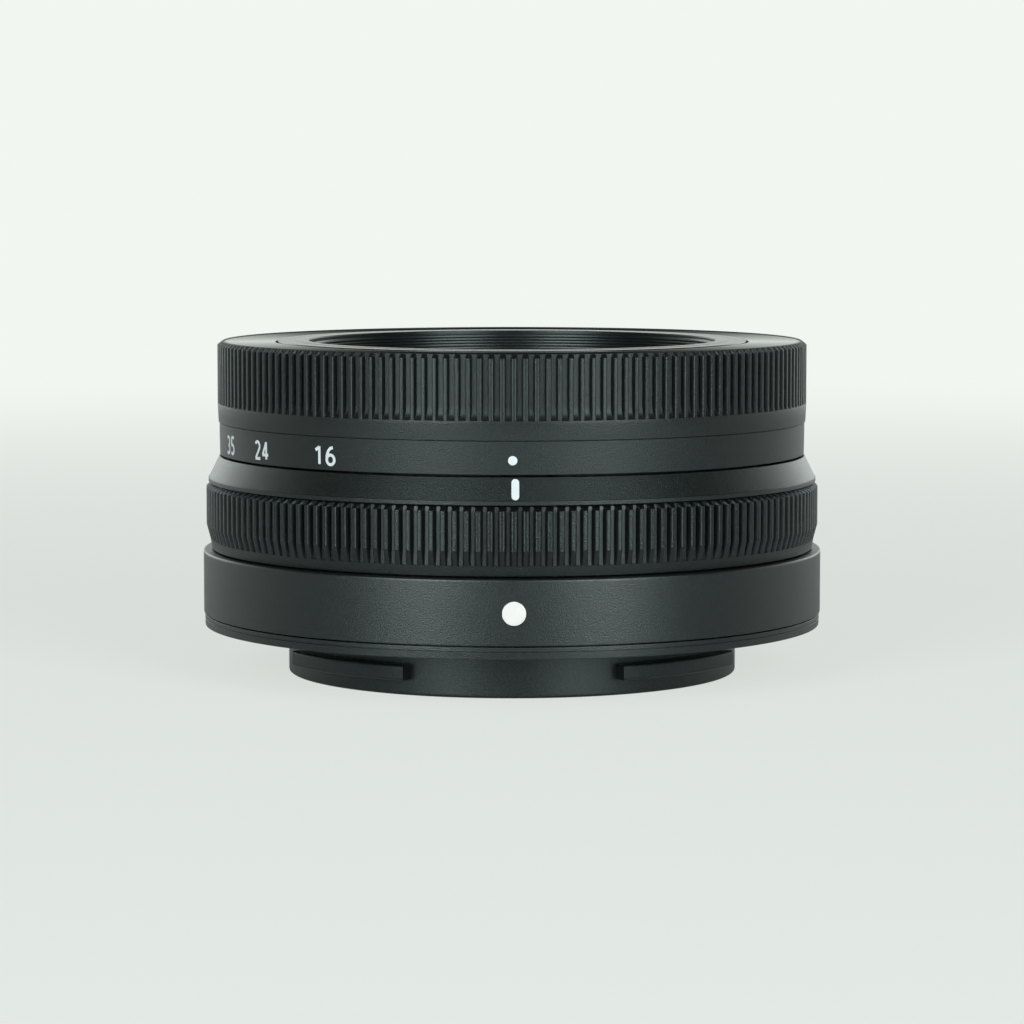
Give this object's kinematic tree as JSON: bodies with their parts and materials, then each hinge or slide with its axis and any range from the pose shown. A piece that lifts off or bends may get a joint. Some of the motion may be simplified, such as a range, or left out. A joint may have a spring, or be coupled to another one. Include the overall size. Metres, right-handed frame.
{
  "type": "camera zoom lens",
  "caption": "Short retractable camera zoom lens with a bayonet mount, a ribbed control ring, a zoom ring that extends the front barrel, an iris, and a focus drive.",
  "frame": {"origin": "centre of the mount flange's seating plane, on the optical axis", "axes": "+Z along the optical axis towards the front of the lens, -Y towards the side with the index marks, +X to the right of those marks"},
  "size_m": [0.07, 0.07, 0.0375],
  "materials": {
    "black_plastic": "fine grained satin",
    "inner_plastic": "matt black",
    "mount_plastic": "satin",
    "barrel_metal": "black anodised",
    "steel": "turned",
    "gold": "gold plated",
    "white": "smooth",
    "board": "solder mask",
    "chip": "moulded",
    "ribbon": "film",
    "glass": "coated",
    "copper": "lacquered wire",
    "magnet": "nickel plated",
    "blade": "matt black",
    "felt": "felt"
  },
  "bodies": {
    "body": {"mount_ring": "mount_plastic", "mount_screws": "steel", "seam_ring": "black_plastic", "rear_cover": "black_plastic", "index_dot": "white", "rear_baffle": "inner_plastic", "contact_block": "inner_plastic", "contact_pins": "gold", "contact_flex": "ribbon", "guide_barrel": "barrel_metal", "outer_barrel": "inner_plastic", "index_ring": "black_plastic", "main_board": "board", "board_chips": "chip", "control_sensor": "inner_plastic", "rear_cell": "inner_plastic", "rear_lens": "glass", "rear_retainer": "inner_plastic", "guide_rods": "steel", "focus_bridge": "barrel_metal", "focus_motor": "steel"},
    "control": {"control_ring": "black_plastic", "encoder_strip": "steel"},
    "zoom": {"zoom_ring": "black_plastic", "cam_barrel": "barrel_metal", "zoom_keys": "inner_plastic", "felt_ring": "felt"},
    "front": {"front_barrel": "black_plastic", "front_pins": "steel", "front_trim": "black_plastic", "front_cell": "inner_plastic", "cell_screws": "steel", "front_lens": "glass", "second_lens": "glass", "third_lens": "glass"},
    "middle": {"middle_frame": "inner_plastic", "middle_pins": "steel", "iris_base": "inner_plastic", "iris_cover": "inner_plastic", "fourth_lens": "glass", "doublet_front": "glass", "doublet_rear": "glass", "shift_coils": "copper", "shift_balls": "steel"},
    "iris": {"iris_ring": "barrel_metal"},
    "blade_1": {"iris_blade_1": "blade"},
    "blade_2": {"iris_blade_2": "blade"},
    "blade_3": {"iris_blade_3": "blade"},
    "blade_4": {"iris_blade_4": "blade"},
    "blade_5": {"iris_blade_5": "blade"},
    "blade_6": {"iris_blade_6": "blade"},
    "blade_7": {"iris_blade_7": "blade"},
    "shift_guide": {"shift_rod": "steel"},
    "shift": {"shift_frame": "inner_plastic", "shift_lens": "glass", "shift_magnets": "magnet"},
    "focus": {"focus_cell": "inner_plastic", "focus_lens": "glass"},
    "spindle": {"lead_screw": "steel"}
  },
  "joints": [
    {"name": "zoom_turn", "type": "hinge", "parent": "body", "child": "zoom", "pos_m": [0, 0, 0.026], "axis": [0, 0, 1], "range_deg": [0, 88]},
    {"name": "front_extend", "type": "slide", "parent": "body", "child": "front", "axis": [0, 0, 1], "range_m": [0, 0.02]},
    {"name": "middle_slide", "type": "slide", "parent": "body", "child": "middle", "axis": [0, 0, 1], "range_m": [0, 0.01]},
    {"name": "control_turn", "type": "hinge", "parent": "body", "child": "control", "pos_m": [0, 0, 0.0125], "axis": [0, 0, 1], "continuous": true},
    {"name": "focus_slide", "type": "slide", "parent": "body", "child": "focus", "axis": [0, 0, 1], "range_m": [0, 0.0025]},
    {"name": "lead_screw_turn", "type": "hinge", "parent": "body", "child": "spindle", "pos_m": [0, -0.0202, 0.006], "axis": [0, 0, 1], "range_deg": [0, 1800]},
    {"name": "iris_turn", "type": "hinge", "parent": "middle", "child": "iris", "pos_m": [0, 0, 0.0145], "axis": [0, 0, 1], "range_deg": [0, 15]},
    {"name": "blade_1_turn", "type": "hinge", "parent": "middle", "child": "blade_1", "pos_m": [0.0102, 0, 0.0135], "axis": [0, 0, 1], "range_deg": [0, 20]},
    {"name": "blade_2_turn", "type": "hinge", "parent": "middle", "child": "blade_2", "pos_m": [0.00636, 0.00797, 0.0135], "axis": [0, 0, 1], "range_deg": [0, 20]},
    {"name": "blade_3_turn", "type": "hinge", "parent": "middle", "child": "blade_3", "pos_m": [-0.00227, 0.00994, 0.0135], "axis": [0, 0, 1], "range_deg": [0, 20]},
    {"name": "blade_4_turn", "type": "hinge", "parent": "middle", "child": "blade_4", "pos_m": [-0.00919, 0.00443, 0.0135], "axis": [0, 0, 1], "range_deg": [0, 20]},
    {"name": "blade_5_turn", "type": "hinge", "parent": "middle", "child": "blade_5", "pos_m": [-0.00919, -0.00443, 0.0135], "axis": [0, 0, 1], "range_deg": [0, 20]},
    {"name": "blade_6_turn", "type": "hinge", "parent": "middle", "child": "blade_6", "pos_m": [-0.00227, -0.00994, 0.0135], "axis": [0, 0, 1], "range_deg": [0, 20]},
    {"name": "blade_7_turn", "type": "hinge", "parent": "middle", "child": "blade_7", "pos_m": [0.00636, -0.00797, 0.0135], "axis": [0, 0, 1], "range_deg": [0, 20]},
    {"name": "shift_x", "type": "slide", "parent": "middle", "child": "shift_guide", "axis": [1, 0, 0], "range_m": [-0.0004, 0.0004]},
    {"name": "shift_y", "type": "slide", "parent": "shift_guide", "child": "shift", "axis": [0, 1, 0], "range_m": [-0.0004, 0.0004]}
  ],
  "couplings": [
    {"joint": "front_extend", "follows": "zoom_turn", "m_per_rad": 0.013022},
    {"joint": "middle_slide", "follows": "zoom_turn", "m_per_rad": 0.0065109},
    {"joint": "lead_screw_turn", "follows": "focus_slide", "rad_per_m": 12566},
    {"joint": "blade_1_turn", "follows": "iris_turn", "ratio": 1.3333},
    {"joint": "blade_2_turn", "follows": "iris_turn", "ratio": 1.3333},
    {"joint": "blade_3_turn", "follows": "iris_turn", "ratio": 1.3333},
    {"joint": "blade_4_turn", "follows": "iris_turn", "ratio": 1.3333},
    {"joint": "blade_5_turn", "follows": "iris_turn", "ratio": 1.3333},
    {"joint": "blade_6_turn", "follows": "iris_turn", "ratio": 1.3333},
    {"joint": "blade_7_turn", "follows": "iris_turn", "ratio": 1.3333}
  ]
}
